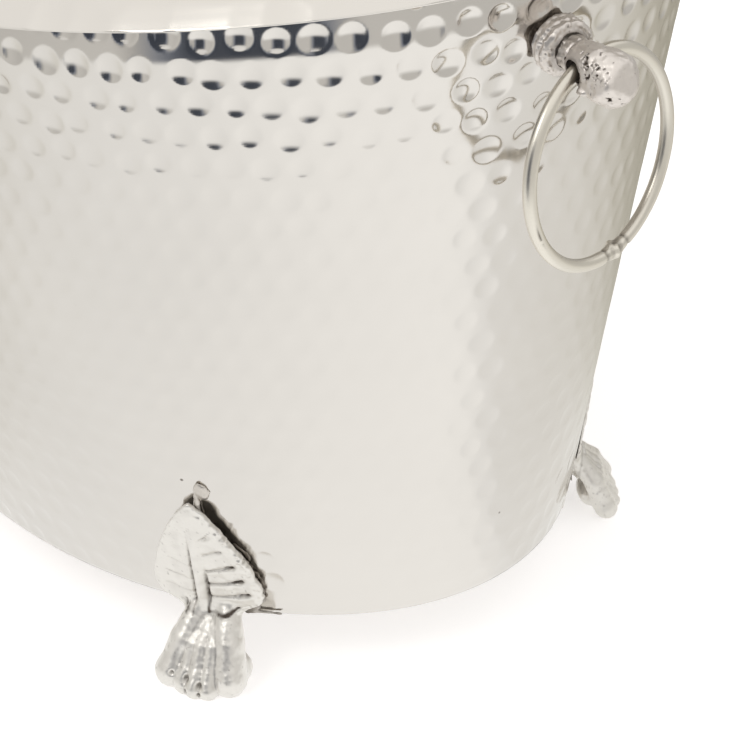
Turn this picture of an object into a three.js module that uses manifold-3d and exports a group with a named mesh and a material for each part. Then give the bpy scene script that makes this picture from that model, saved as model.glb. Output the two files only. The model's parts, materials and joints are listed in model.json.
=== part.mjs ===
// Oval hammered champagne tub on four claw feet, with a swinging ring handle at each end.
// Millimetres, +Z up, +X along the tub, origin on the floor under the middle of the tub.
import * as THREE from 'three';
import { mergeVertices } from 'three/addons/utils/BufferGeometryUtils.js';
import Module from 'manifold-3d';

const wasm = await Module();
wasm.setup();

// ---- driving dimensions ----
const GAP = 0.3; // clearance between pieces that touch
const BODY_Z = 23; // height of the tub's bottom edge above the floor
const BOTTOM_A = 181.3; // bottom ellipse, half length
const BOTTOM_B = 117.0; // bottom ellipse, half width
const FLARE_A = 0.237; // outward growth per mm of height, at the ends
const FLARE_B = 0.185; // the same at the sides
const RIM_H = 235.1; // rim lip above the bottom edge, at the middle of a side
const RIM_RISE = 18.6; // extra height of the lip at the two ends
const WALL_T = 1.4; // sheet thickness of the wall
const WALL_TUCK = 5.4; // how far the wall runs up inside the rolled rim
const NECK_H = 13; // the wall draws in over this height below the lip
const NECK_IN = 3.4; // and by this much
const LIP_W = 8; // inward return at the wall's bottom edge
const FLOOR_T = 1.5; // base plate thickness
const FLOOR_INSET = 2.6; // edge of the base plate inside the wall's outer face
const OVAL_SEGMENTS = 72; // facets round the oval

const HINGE_X = 252.3; // eye of the handle, at the middle of the ring wire
const HINGE_Y = 0.5;
const HINGE_Z = 250.4;
const STEM_SLOPE = THREE.MathUtils.degToRad(9.1); // the stem points slightly down
const EYE_HOLE_R = 3.1; // hole through the eye, at its narrowest
const SHANK_R = 3; // threaded shank through the wall
const SHANK_HOLE_R = 3.4;
const BOSS_R = 9.4;
const BOSS_T = 6.8;
const WASHER_R = 7.5;
const WASHER_T = 1.2;
const WASHER_BORE_R = 3.9; // loose, because the stem isn't quite square to the wall
const NUT_R = 5.8; // across the corners
const NUT_T = 4.6;
const NUT_CLEAR = 1.7; // play in the stack of wall, washer and nut
const SHANK_PROUD = 1.6; // shank end beyond the nut
const BALL_AT = 11.6; // ball centre beyond the eye
const BALL_R = 9.1;

const RING_R = 34.0; // ring handle, to the middle of the wire
const WIRE_R = 2.25;
const RING_YAW = THREE.MathUtils.degToRad(14.5); // the eye is drilled off square
const RING_SLIP = THREE.MathUtils.degToRad(10.8); // the eye sits this far round from the ring's top
const WELD_AT = THREE.MathUtils.degToRad(-66); // weld on the ring, from its far side
const WELD_BULGE = 0.55;

const LEAF_T = 0.9; // leaf thickness between its bevels
const LEAF_BEVEL = 0.7;
const TOE_TOP_Z = 26; // height where the toes leave the ankle
const TOE_TIP_Z = 1.5;
const PAD_R = 8; // solder pad behind the leaf
const PAD_Z = 42; // height of the pad's middle
const PAD_BACK = 0.4; // back of the pad off the wall

// ---- materials ----
const silver = (r, g, b, rough) =>
  new THREE.MeshStandardMaterial({ color: new THREE.Color(r, g, b), metalness: 1, roughness: rough });
const plated = silver(0.78, 0.75, 0.71, 0.22);
const platedRim = silver(0.8, 0.77, 0.73, 0.28);
const castNickel = silver(0.66, 0.62, 0.57, 0.42);
const wireNickel = silver(0.72, 0.68, 0.62, 0.25);
const fastenerSteel = silver(0.55, 0.55, 0.55, 0.4);
const solderTin = silver(0.42, 0.36, 0.31, 0.6);

// ---- helpers ----
const group = new THREE.Group();

function addNode(name, geometry, material) {
  const mesh = new THREE.Mesh(geometry, material.clone());
  mesh.name = name;
  group.add(mesh);
}

function welded(geometry) {
  const plain = geometry.clone();
  plain.deleteAttribute('normal');
  plain.deleteAttribute('uv');
  const single = mergeVertices(plain, 1e-4);
  single.computeVertexNormals();
  return single;
}

function toManifold(geometry) {
  const g = welded(geometry);
  return new wasm.Manifold(
    new wasm.Mesh({
      numProp: 3,
      vertProperties: new Float32Array(g.attributes.position.array),
      triVerts: new Uint32Array(g.index.array),
    }),
  );
}

function fromManifold(solid) {
  const mesh = solid.getMesh();
  const g = new THREE.BufferGeometry();
  g.setAttribute('position', new THREE.BufferAttribute(new Float32Array(mesh.vertProperties), 3));
  g.setIndex(new THREE.BufferAttribute(new Uint32Array(mesh.triVerts), 1));
  g.computeVertexNormals();
  return g;
}

// Height of the rim's lip above the bottom edge at angle t: low at the sides, high at the ends.
function rimHeight(t) {
  return RIM_H + RIM_RISE * Math.cos(t) ** 2;
}

// A point on the tub's outer surface at angle t and height h, moved outward by off.
function onOval(t, h, off) {
  const a = BOTTOM_A + FLARE_A * h;
  const b = BOTTOM_B + FLARE_B * h;
  const n = new THREE.Vector2(Math.cos(t) / a, Math.sin(t) / b).normalize();
  return new THREE.Vector3(a * Math.cos(t) + n.x * off, b * Math.sin(t) + n.y * off, BODY_Z + h);
}

// Sweeps a closed section round the oval. Each section point gives [offset, height at angle t].
function ovalBand(section) {
  const base = 100;
  const profile = section.map((s, i) => new THREE.Vector2(base, i));
  profile.push(profile[0].clone());
  const g = new THREE.LatheGeometry(profile, OVAL_SEGMENTS);
  const count = section.length + 1;
  const pos = g.attributes.position;
  for (let i = 0; i < pos.count; i++) {
    const t = (Math.floor(i / count) % OVAL_SEGMENTS) * ((2 * Math.PI) / OVAL_SEGMENTS);
    const [off, height] = section[(i % count) % section.length];
    const p = onOval(t, height(t), off);
    pos.setXYZ(i, p.x, p.y, p.z);
  }
  return welded(g);
}

// LatheGeometry turns about Y; this turns the result about Z.
function latheZ(points, segments) {
  const g = new THREE.LatheGeometry(points.map(([r, z]) => new THREE.Vector2(r, z)), segments);
  return g.rotateX(Math.PI / 2);
}

// ---- tub ----
const fixed = (h) => () => h;
const underRim = (dz) => (t) => rimHeight(t) + dz;

function tubWall() {
  const section = [
    [-LIP_W, fixed(0)],
    [-2.2, fixed(0)],
    [-0.7, fixed(0.6)],
    [0, fixed(2.2)],
    [0, underRim(-NECK_H)],
    [-NECK_IN, underRim(0)],
    [-NECK_IN, underRim(WALL_TUCK)],
    [-NECK_IN - WALL_T, underRim(WALL_TUCK)],
    [-NECK_IN - WALL_T, underRim(0)],
    [-WALL_T, underRim(-NECK_H)],
    [-WALL_T, fixed(2.4)],
    [-2.0, fixed(1.6)],
    [-2.8, fixed(WALL_T)],
    [-LIP_W, fixed(WALL_T)],
  ];
  return ovalBand(section);
}

function tubFloor() {
  const outline = new THREE.Shape();
  outline.absellipse(0, 0, BOTTOM_A - FLOOR_INSET, BOTTOM_B - FLOOR_INSET, 0, 2 * Math.PI);
  const g = new THREE.ExtrudeGeometry(outline, {
    depth: FLOOR_T,
    bevelEnabled: false,
    curveSegments: OVAL_SEGMENTS / 2,
  });
  return welded(g.translate(0, 0, BODY_Z + WALL_T + GAP));
}

// A hollow half-round roll: outer face over the top from the lip to the inner edge, then back underneath.
function rolledRim() {
  const outer = [
    [4.8, 0],
    [4.4, 3.4],
    [1.2, 7.4],
    [-4.0, 10.0],
    [-9.5, 10.0],
    [-14.8, 7.2],
    [-17.4, 1.6],
  ];
  const inner = [
    [-15.9, 1.6],
    [-13.7, 6.1],
    [-9.2, 8.5],
    [-4.3, 8.5],
    [0.2, 6.2],
    [2.9, 2.9],
    [3.3, 0.4],
  ];
  return ovalBand([...outer, ...inner].map(([off, dz]) => [off, underRim(dz)]));
}

// ---- handles ----
// Local frame of a handle: origin at the eye, +Z out along the stem, +X roughly up the wall.
function placeHandle(geometry) {
  geometry.rotateY(Math.PI / 2 + STEM_SLOPE);
  geometry.translate(HINGE_X, HINGE_Y, HINGE_Z);
  return geometry;
}

// Distance from the eye back along the stem to the wall's outer face.
function eyeToWall() {
  const horizontal = HINGE_X - (BOTTOM_A + FLARE_A * (HINGE_Z - BODY_Z));
  return horizontal / (Math.cos(STEM_SLOPE) + FLARE_A * Math.sin(STEM_SLOPE));
}

// Local frame on the wall where the stem passes through: +Z square to the wall, outward.
function placeOnWall(geometry) {
  const along = eyeToWall();
  geometry.rotateY(Math.PI / 2 + Math.atan(FLARE_A));
  geometry.translate(
    HINGE_X - along * Math.cos(STEM_SLOPE),
    HINGE_Y,
    HINGE_Z + along * Math.sin(STEM_SLOPE),
  );
  return geometry;
}

function ringDirections() {
  const along = new THREE.Vector3(-Math.sin(RING_YAW), Math.cos(RING_YAW), 0);
  const up = new THREE.Vector3(0, 0, 1);
  const tangent = along.clone().multiplyScalar(Math.cos(RING_SLIP));
  tangent.addScaledVector(up, Math.sin(RING_SLIP));
  return { along, up, tangent };
}

function eyeKnob() {
  const wall = eyeToWall();
  const shankEnd = -(wall + WALL_T + WASHER_T + NUT_T + NUT_CLEAR + SHANK_PROUD);
  const seat = -(wall - BOSS_T - 2 * GAP);
  const profile = [
    [0, shankEnd],
    [SHANK_R - 0.5, shankEnd],
    [SHANK_R, shankEnd + 0.5],
    [SHANK_R, seat],
    [6.0, seat],
    [6.3, seat + 1],
    [5.6, seat + 3],
    [5.7, seat + 5.5],
    [6.5, 0],
    [7.2, 3.2],
    [8.3, 6.4],
    [9.0, 9.4],
    [BALL_R, BALL_AT],
    [8.6, 14.4],
    [7.2, 17.2],
    [4.9, 19.4],
    [2.6, 20.4],
    [0, 20.7],
  ];
  const body = placeHandle(latheZ(profile, 20));
  // The hole opens out towards both mouths, to leave room for the curve of the wire.
  const half = [
    [EYE_HOLE_R, 3],
    [EYE_HOLE_R + 0.7, 7],
    [EYE_HOLE_R + 5, 20],
    [0, 20],
  ];
  const otherHalf = half.map(([r, y]) => [r, -y]).reverse();
  const drillProfile = [...otherHalf, ...half].map(([r, y]) => new THREE.Vector2(r, y));
  const drill = new THREE.LatheGeometry(drillProfile, 14);
  const spin = new THREE.Quaternion();
  spin.setFromUnitVectors(new THREE.Vector3(0, 1, 0), ringDirections().tangent);
  drill.applyQuaternion(spin);
  drill.translate(HINGE_X, HINGE_Y, HINGE_Z);
  return toManifold(body).subtract(toManifold(drill));
}

function boss() {
  const face = -(eyeToWall() - BOSS_T - GAP);
  const back = -(eyeToWall() + 2);
  const profile = [
    [SHANK_HOLE_R, back],
    [BOSS_R, back],
    [BOSS_R, face - 3.4],
    [BOSS_R - 0.9, face - 1.4],
    [BOSS_R - 2.4, face],
    [SHANK_HOLE_R, face],
    [SHANK_HOLE_R, back],
  ];
  const blank = toManifold(placeHandle(latheZ(profile, 20)));
  const behind = placeOnWall(new THREE.BoxGeometry(60, 60, 20).translate(0, 0, GAP - 10));
  return fromManifold(blank.subtract(toManifold(behind)));
}

function washer() {
  const top = -(WALL_T + 2.5 * GAP);
  const bottom = top - WASHER_T;
  const profile = [
    [WASHER_BORE_R, bottom],
    [WASHER_R, bottom],
    [WASHER_R, top],
    [WASHER_BORE_R, top],
    [WASHER_BORE_R, bottom],
  ];
  return welded(placeOnWall(latheZ(profile, 20)));
}

function nut() {
  const top = -(eyeToWall() + WALL_T + WASHER_T + NUT_CLEAR);
  const hex = new THREE.Shape();
  for (let i = 0; i < 6; i++) {
    const corner = (i * Math.PI) / 3;
    const point = [NUT_R * Math.cos(corner), NUT_R * Math.sin(corner)];
    if (i === 0) {
      hex.moveTo(...point);
    } else {
      hex.lineTo(...point);
    }
  }
  hex.closePath();
  const bore = new THREE.Path();
  bore.absarc(0, 0, SHANK_R + GAP, 0, 2 * Math.PI, true);
  hex.holes.push(bore);
  const g = new THREE.ExtrudeGeometry(hex, { depth: NUT_T, bevelEnabled: false, curveSegments: 16 });
  return welded(placeHandle(g.translate(0, 0, top - NUT_T)));
}

// The ring hangs in a vertical plane; the wire thickens where its two ends are welded.
function ring() {
  const sides = 8;
  const steps = 44;
  const profile = [];
  for (let i = 0; i <= sides; i++) {
    const a = (i / sides) * 2 * Math.PI;
    profile.push(new THREE.Vector2(RING_R + WIRE_R * Math.cos(a), WIRE_R * Math.sin(a)));
  }
  const g = new THREE.LatheGeometry(profile, steps);
  const { along, up } = ringDirections();
  const normal = new THREE.Vector3().crossVectors(along, up);
  const centre = new THREE.Vector3(HINGE_X, HINGE_Y, HINGE_Z);
  centre.addScaledVector(along, RING_R * Math.sin(RING_SLIP));
  centre.addScaledVector(up, -RING_R * Math.cos(RING_SLIP));
  const pos = g.attributes.position;
  for (let i = 0; i < pos.count; i++) {
    const x = pos.getX(i);
    const z = pos.getZ(i);
    const angle = Math.atan2(z, x);
    const bulge = 1 + (WELD_BULGE / WIRE_R) * Math.exp(-(((angle - WELD_AT) / 0.07) ** 2));
    const radius = RING_R + (Math.hypot(x, z) - RING_R) * bulge;
    const p = centre.clone();
    p.addScaledVector(along, radius * Math.cos(angle));
    p.addScaledVector(up, radius * Math.sin(angle));
    p.addScaledVector(normal, -pos.getY(i) * bulge);
    pos.setXYZ(i, p.x, p.y, p.z);
  }
  return welded(g);
}

// ---- feet ----
// Local frame of a foot: +X along the wall, +Y outward, +Z up, origin on the floor under the wall's edge.
function leafLean(at) {
  const p = onOval(at, 0, 0);
  const q = onOval(at, 100, 0);
  const n = onOval(at, 0, 1).sub(p);
  return Math.atan(q.sub(p).dot(n) / 100);
}

function placeFoot(geometry, at) {
  const p = onOval(at, 0, 0);
  const n = onOval(at, 0, 1).sub(p);
  geometry.rotateZ(Math.atan2(n.y, n.x) - Math.PI / 2);
  geometry.translate(p.x, p.y, 0);
  return geometry;
}

// Tips a flat piece drawn in X and Z so that it stands parallel to the flared wall.
function leanBack(geometry, at) {
  geometry.translate(0, 0, -BODY_Z);
  geometry.rotateX(-leafLean(at));
  geometry.translate(0, 0, BODY_Z);
  return geometry;
}

function leaf(at, leafGap) {
  const half = [
    [7.5, 23.5],
    [11.5, 26.4],
    [19.8, 31.0],
    [21.2, 34.6],
    [20.8, 40],
    [18.4, 48],
    [14.6, 57],
    [10.2, 65.5],
    [5.2, 73],
  ];
  const tip = [0, 76.5];
  const left = half.map(([x, z]) => [-x, z]).reverse();
  const outline = new THREE.Shape([...half, tip, ...left].map(([x, z]) => new THREE.Vector2(x, z)));
  const g = new THREE.ExtrudeGeometry(outline, {
    depth: LEAF_T,
    bevelThickness: LEAF_BEVEL,
    bevelSize: LEAF_BEVEL,
    bevelSegments: 1,
  });
  g.rotateX(Math.PI / 2);
  g.translate(0, leafGap + LEAF_T + LEAF_BEVEL, 0);
  return leanBack(g, at);
}

function ellipsoid(rx, ry, rz, segments) {
  const g = new THREE.SphereGeometry(1, segments, Math.round(segments * 0.6));
  g.rotateX(Math.PI / 2);
  return g.scale(rx, ry, rz);
}

// One toe: a long drop from the ankle to its tip on the floor.
function toe(xTop, xTip, outTip) {
  const top = new THREE.Vector3(xTop, 6.0, TOE_TOP_Z);
  const tip = new THREE.Vector3(xTip, outTip, TOE_TIP_Z);
  const axis = tip.clone().sub(top);
  const g = ellipsoid(5.2, 5.6, axis.length() / 2 + 1.5, 10);
  const tilt = new THREE.Quaternion();
  tilt.setFromUnitVectors(new THREE.Vector3(0, 0, -1), axis.normalize());
  g.applyQuaternion(tilt);
  const middle = top.add(tip).multiplyScalar(0.5);
  return g.translate(middle.x, middle.y, middle.z);
}

// The claw spreads outward from the wall by reach, and the leaf stands off the wall by leafGap.
function clawFoot({ at, reach, leafGap }) {
  let solid = toManifold(leaf(at, leafGap));
  const pieces = [
    toe(-4.6, -15.4, reach - 2.5),
    toe(-1.7, -5.3, reach),
    toe(1.7, 5.3, reach),
    toe(4.6, 15.4, reach - 2.5),
    ellipsoid(9.6, 4.6, 8, 12).translate(0, 5.6, 23),
    ellipsoid(17.8, 9, 8.5, 14).translate(0, reach - 6, 5.5),
    new THREE.BoxGeometry(11, 12, 3).translate(0, 1.5, BODY_Z - GAP - 1.5),
  ];
  for (const piece of pieces) {
    solid = solid.add(toManifold(piece));
  }
  const floor = new THREE.BoxGeometry(90, 90, 40).translate(0, 0, -20);
  const body = new THREE.BoxGeometry(90, 40, 80).translate(0, 0.8 - 20, BODY_Z - GAP + 40);
  solid = solid.subtract(toManifold(floor)).subtract(toManifold(leanBack(body, at)));
  return placeFoot(fromManifold(solid), at);
}

function solderPad({ at, leafGap }) {
  const front = leafGap - GAP;
  const g = new THREE.CylinderGeometry(PAD_R, PAD_R - 0.6, front - PAD_BACK, 20);
  g.rotateX(Math.PI);
  g.translate(0, (front + PAD_BACK) / 2, PAD_Z);
  return welded(placeFoot(leanBack(g, at), at));
}

// ---- assembly ----
const HALF_TURN = [
  ['right', 0],
  ['left', Math.PI],
];

let wallSolid = toManifold(tubWall());
for (const [, turn] of HALF_TURN) {
  const drill = placeHandle(latheZ([[0, -40], [SHANK_HOLE_R, -40], [SHANK_HOLE_R, 0], [0, 0]], 20));
  wallSolid = wallSolid.subtract(toManifold(drill.rotateZ(turn)));
}
addNode('tub_wall', fromManifold(wallSolid), plated);
addNode('tub_floor', tubFloor(), plated);
addNode('rolled_rim', rolledRim(), platedRim);

for (const [side, turn] of HALF_TURN) {
  addNode(`${side}_boss`, boss().rotateZ(turn), castNickel);
  addNode(`${side}_eye_knob`, fromManifold(eyeKnob()).rotateZ(turn), castNickel);
  addNode(`${side}_washer`, washer().rotateZ(turn), fastenerSteel);
  addNode(`${side}_nut`, nut().rotateZ(turn), fastenerSteel);
  addNode(`${side}_ring`, ring().rotateZ(turn), wireNickel);
}

// Mirroring turns the faces inside out, so their winding is flipped back.
function mirroredY(geometry) {
  const g = geometry.clone().scale(1, -1, 1);
  const index = g.index.array;
  for (let i = 0; i < index.length; i += 3) {
    [index[i], index[i + 1]] = [index[i + 1], index[i]];
  }
  g.computeVertexNormals();
  return g;
}

// Hand-fitted castings: angle round the bottom ellipse, reach of the claw, and gap behind the leaf.
const WIDE = { at: THREE.MathUtils.degToRad(42.5), reach: 24.5, leafGap: 1.8 };
const CLOSE = { at: THREE.MathUtils.degToRad(45.6), reach: 16.5, leafGap: 1.2 };
const FOOT_PLACES = [
  ['back_right', CLOSE, false, 0],
  ['front_left', CLOSE, false, Math.PI],
  ['front_right', WIDE, true, 0],
  ['back_left', WIDE, true, Math.PI],
];
// Each entry gives the name, the casting, whether it's mirrored, and the turn about Z.
for (const [place, casting, mirror, turn] of FOOT_PLACES) {
  const foot = clawFoot(casting);
  const pad = solderPad(casting);
  addNode(`${place}_foot`, (mirror ? mirroredY(foot) : foot).rotateZ(turn), castNickel);
  addNode(`${place}_solder`, (mirror ? mirroredY(pad) : pad).rotateZ(turn), solderTin);
}

export default group;
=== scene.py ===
import json
import math

import bpy
import numpy as np
from mathutils import Matrix, Vector


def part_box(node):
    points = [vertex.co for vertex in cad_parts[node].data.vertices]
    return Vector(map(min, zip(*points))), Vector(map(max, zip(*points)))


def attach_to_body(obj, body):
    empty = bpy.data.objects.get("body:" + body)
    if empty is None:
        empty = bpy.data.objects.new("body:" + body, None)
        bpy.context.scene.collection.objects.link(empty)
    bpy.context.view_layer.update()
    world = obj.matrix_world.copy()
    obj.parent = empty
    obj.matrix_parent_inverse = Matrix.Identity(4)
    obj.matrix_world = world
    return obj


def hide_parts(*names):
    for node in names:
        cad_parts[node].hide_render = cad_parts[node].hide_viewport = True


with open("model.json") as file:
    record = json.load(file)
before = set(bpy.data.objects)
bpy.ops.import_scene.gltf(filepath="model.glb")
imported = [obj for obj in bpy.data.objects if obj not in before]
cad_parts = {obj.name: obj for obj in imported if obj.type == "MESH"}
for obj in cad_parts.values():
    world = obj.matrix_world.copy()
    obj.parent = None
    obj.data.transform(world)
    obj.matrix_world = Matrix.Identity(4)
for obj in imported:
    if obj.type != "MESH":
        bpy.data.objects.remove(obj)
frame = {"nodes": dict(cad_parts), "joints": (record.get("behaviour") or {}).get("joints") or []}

# The tub's looks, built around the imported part. Helpers work in millimetres; meshes are made in metres.

MM = 0.001
RNG = np.random.default_rng(7)
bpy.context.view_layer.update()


def box_mm(node):
    """Lowest and highest corners of a CAD node, in millimetres."""
    low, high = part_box(node)
    return np.array(low) / MM, np.array(high) / MM


# ---- sizes, from the frame and the part's driving dimensions ----
RIM_RISE = 18.6  # how much higher the rim is at the two ends than at the sides
LIP_OUT = 4.8  # how far the rim's outer edge stands out from the wall
LIP_CROWN = 10.0  # the rim's top above the wall's line
WALL_TUCK = 5.4  # how far the wall runs up inside the rim
WALL_T = 1.4
WALL_START = 2.4  # where the hammered face begins, above the turned-in lip
NECK_H = 13.0
NECK_IN = 3.4
FLOOR_INSET = 2.6
floor_high = box_mm("tub_floor")[1]
rim_high = box_mm("rolled_rim")[1]
BODY_Z = box_mm("tub_wall")[0][2]
RIM_H = rim_high[2] - BODY_Z - RIM_RISE - LIP_CROWN
BOTTOM_A = floor_high[0] + FLOOR_INSET
BOTTOM_B = floor_high[1] + FLOOR_INSET
FLARE_A = (rim_high[0] - LIP_OUT - BOTTOM_A) / (RIM_H + RIM_RISE)
FLARE_B = (rim_high[1] - LIP_OUT - BOTTOM_B) / RIM_H


# ---- small tools ----
def make_mesh(name, points, faces, material):
    """A smooth mesh object from points in mm and an array of quads or triangles, with its faces turned outward."""
    a = points[faces]
    volume = np.einsum("ij,ij->i", np.cross(a[:, 0], a[:, 1]), a[:, 2]).sum()
    if faces.shape[1] == 4:
        volume += np.einsum("ij,ij->i", np.cross(a[:, 0], a[:, 2]), a[:, 3]).sum()
    if volume < 0:
        faces = faces[:, ::-1]
    mesh = bpy.data.meshes.new(name)
    mesh.vertices.add(len(points))
    mesh.vertices.foreach_set("co", (points * MM).astype(np.float32).ravel())
    sides = faces.shape[1]
    mesh.loops.add(faces.size)
    mesh.loops.foreach_set("vertex_index", faces.astype(np.int32).ravel())
    mesh.polygons.add(len(faces))
    mesh.polygons.foreach_set("loop_start", np.arange(0, faces.size, sides, dtype=np.int32))
    mesh.polygons.foreach_set("use_smooth", np.ones(len(faces), dtype=bool))
    mesh.update(calc_edges=True)
    mesh.validate()
    obj = bpy.data.objects.new(name, mesh)
    bpy.context.scene.collection.objects.link(obj)
    mesh.materials.append(material)
    return obj


def loop_grid(columns, rows, close_rows=True):
    """Quads of a grid that closes round its columns, and round its rows too if asked."""
    i = np.arange(columns)[:, None]
    j = np.arange(rows if close_rows else rows - 1)[None, :]
    i2 = (i + 1) % columns
    j2 = (j + 1) % rows
    corners = [i * rows + j, i2 * rows + j, i2 * rows + j2, i * rows + j2]
    return np.stack([np.broadcast_to(c, (columns, j.size)) for c in corners], -1).reshape(-1, 4)


def attach(obj, body, slot, *nodes):
    """The piece rides on a body and stands for the CAD nodes; slot is not used."""
    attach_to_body(obj, body)
    if nodes:
        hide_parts(*nodes)
    return obj


NOISE = RNG.random((64, 64, 64))


def noise(points, cell):
    """Smooth random values from -1 to 1, with features about one cell across."""
    p = points / cell
    base = np.floor(p).astype(int)
    f = p - base
    f = f * f * (3 - 2 * f)
    total = 0
    for dx in (0, 1):
        for dy in (0, 1):
            for dz in (0, 1):
                weight = np.abs(1 - dx - f[..., 0]) * np.abs(1 - dy - f[..., 1]) * np.abs(1 - dz - f[..., 2])
                ix, iy, iz = ((base[..., k] + d) & 63 for k, d in enumerate((dx, dy, dz)))
                total = total + weight * NOISE[ix, iy, iz]
    return total * 2 - 1


def surface_net(f):
    """Quads round the inside (f < 0) of a field on a grid, with one vertex to each cell that the surface crosses."""
    cells = tuple(n - 1 for n in f.shape)
    total = [np.zeros(cells[0] * cells[1] * cells[2]) for _ in range(4)]
    crossings = []
    for d in range(3):
        e, g = (d + 1) % 3, (d + 2) % 3
        lower = [slice(None)] * 3
        upper = [slice(None)] * 3
        lower[d], upper[d] = slice(0, -1), slice(1, None)
        a, b = f[tuple(lower)], f[tuple(upper)]
        at = np.argwhere((a < 0) != (b < 0))
        fa, fb = a[tuple(at.T)], b[tuple(at.T)]
        point = at.astype(float)
        point[:, d] += fa / (fa - fb)
        around = []
        for oe, og in ((-1, -1), (0, -1), (0, 0), (-1, 0)):
            cell = at.copy()
            cell[:, e] += oe
            cell[:, g] += og
            flat = np.ravel_multi_index(tuple(cell.T), cells)
            around.append(flat)
            for k in range(3):
                total[k] += np.bincount(flat, point[:, k], total[k].size)
            total[3] += np.bincount(flat, minlength=total[3].size)
        quad = np.stack(around, 1)
        quad[fa >= 0] = quad[fa >= 0][:, ::-1]
        crossings.append(quad)
    used = np.flatnonzero(total[3])
    number = np.zeros(total[3].size, int)
    number[used] = np.arange(used.size)
    points = np.stack([total[k][used] / total[3][used] for k in range(3)], 1)
    return points, number[np.concatenate(crossings)]


def main_pieces(points, faces):
    """Leaves out loose crumbs: connected parts with under 2% of the points."""
    label = np.arange(len(points))
    while True:
        before = label.copy()
        lowest = label[faces].min(1)
        np.minimum.at(label, faces.ravel(), np.repeat(lowest, 4))
        label = label[label]
        if (label == before).all():
            break
    size = np.bincount(label, minlength=len(points))
    keep = size[label] >= 0.02 * len(points)
    number = np.cumsum(keep) - 1
    return points[keep], number[faces[keep[faces[:, 0]]]]


def sculpt(field, low, high, step):
    """The surface of a field (a function of points that gives distance and darkness, from tarnish and painted shade),
    in the field's own frame.
    """
    step = step * 1
    low = np.array(low, float)
    count = np.ceil((np.array(high, float) - low) / step).astype(int) + 1
    axes = [low[i] + step * np.arange(count[i]) for i in range(3)]
    f = field(np.stack(np.meshgrid(*axes, indexing="ij"), -1))[0]
    for d in range(3):
        edge = [slice(None)] * 3
        for end in (0, -1):
            edge[d] = end
            f[tuple(edge)] = np.abs(f[tuple(edge)]) + 0.01
    points, faces = main_pieces(*surface_net(f))
    points = low + points * step
    small = step * 0.2
    for _ in range(2):
        value = field(points)[0]
        slope = np.stack([(field(points + small * np.eye(3)[k])[0] - value) / small for k in range(3)], 1)
        move = -value[:, None] * slope / np.maximum((slope ** 2).sum(1), 0.25)[:, None]
        size = np.linalg.norm(move, axis=1)
        points += move * np.minimum(1, 0.5 * step / np.maximum(size, 1e-9))[:, None]
    return points, faces, field(points)[1]


def store_tarnish_and_shade(obj, tarnish_and_shade):
    """Stores how dark each vertex is, from tarnish and painted shade, for the metal to read."""
    attribute = obj.data.attributes.new("tarnish_and_shade", "FLOAT", "POINT")
    attribute.data.foreach_set("value", np.clip(tarnish_and_shade, 0, 1).astype(np.float32))
    return obj


def smin(a, b, k):
    """The lower of two fields, with their join rounded over about k."""
    h = np.clip(0.5 + 0.5 * (b - a) / k, 0, 1)
    return b + (a - b) * h - k * h * (1 - h)


def smax(a, b, k):
    """The higher of two fields, with their join rounded over about k."""
    return -smin(-a, -b, k)


def taper(p, a, b, ra, rb):
    """Distance to a round bar from a to b whose radius goes from ra to rb."""
    a, d = np.array(a, float), np.array(b, float) - np.array(a, float)
    u = np.clip(((p - a) @ d) / (d @ d), 0, 1)
    return np.linalg.norm(p - a - u[..., None] * d, axis=-1) - (ra + (rb - ra) * u)


def egg(p, centre, radii):
    """Rough distance to an egg with the given radii along x, y and z."""
    radii = np.array(radii, float)
    return (np.linalg.norm((p - np.array(centre, float)) / radii, axis=-1) - 1) * radii.min()


def dip(x, width):
    """A soft bump: 1 at x = 0, and close to 0 past two widths."""
    return np.exp(-(x / width) ** 2)


def half_turn(points, turned):
    """The points, or the same points half a turn round the tub."""
    return points * [-1, -1, 1] if turned else points


# ---- the oval body ----
def rim_height(t):
    """Height of the wall's top line over the bottom edge, at angle t."""
    return RIM_H + RIM_RISE * np.cos(t) ** 2


def on_oval(t, h, off):
    """Points on the outer surface at angle t and height h above the bottom edge, moved outward by off."""
    a = BOTTOM_A + FLARE_A * h
    b = BOTTOM_B + FLARE_B * h
    nx, ny = np.cos(t) / a, np.sin(t) / b
    size = np.hypot(nx, ny)
    x = a * np.cos(t) + off * nx / size
    y = b * np.sin(t) + off * ny / size
    return np.stack(np.broadcast_arrays(x, y, BODY_Z + h), -1)


def even_angles(count, h):
    """Angles evenly spaced along the oval at height h, the length all round, and the angle at any length along it."""
    t = np.linspace(0, 2 * math.pi, 7201)
    p = on_oval(t, h, 0)
    s = np.concatenate([[0], np.cumsum(np.linalg.norm(np.diff(p, axis=0), axis=1))])
    return np.interp(np.arange(count) / count * s[-1], s, t), s[-1], lambda at: np.interp(at % s[-1], s, t)


MARK_PITCH = 11.5  # between marks in a row
MARK_ROW = 11.25  # between rows
MARK_R = 4.6
MARK_DEEP = 1.25  # just under the rim
MARK_SHALLOW = 0.33  # near the foot
MARK_DEEP_TO = 14  # how far below the rim the marks stay at their deepest
MARK_FADE = 38


def stamp(depth, t, h, t0, h0, radius, deep, stretch):
    """Presses one round hammer mark into the depth grid, whose columns stand at angles t and have heights h."""
    columns = len(t)
    local = on_oval(np.array([t0, t0 + 1e-3]), h0, 0)
    per_angle = np.linalg.norm(local[1] - local[0]) / 1e-3
    reach = int(math.ceil(radius / per_angle / (2 * math.pi / columns) * 1.7)) + 2
    near = int(np.searchsorted(t, t0 % (2 * math.pi)))
    cols = np.arange(near - reach, near + reach + 1) % columns
    du = ((t[cols] - t0 + math.pi) % (2 * math.pi) - math.pi) * per_angle * stretch
    inside = np.abs(du) < radius
    cols, du = cols[inside], du[inside]
    dv = (h[cols] - h0) * 1.02
    r2 = (du[:, None] ** 2 + dv ** 2) / radius ** 2
    depth[cols] = np.maximum(depth[cols], deep * np.clip(1 - r2, 0, None))


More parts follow.
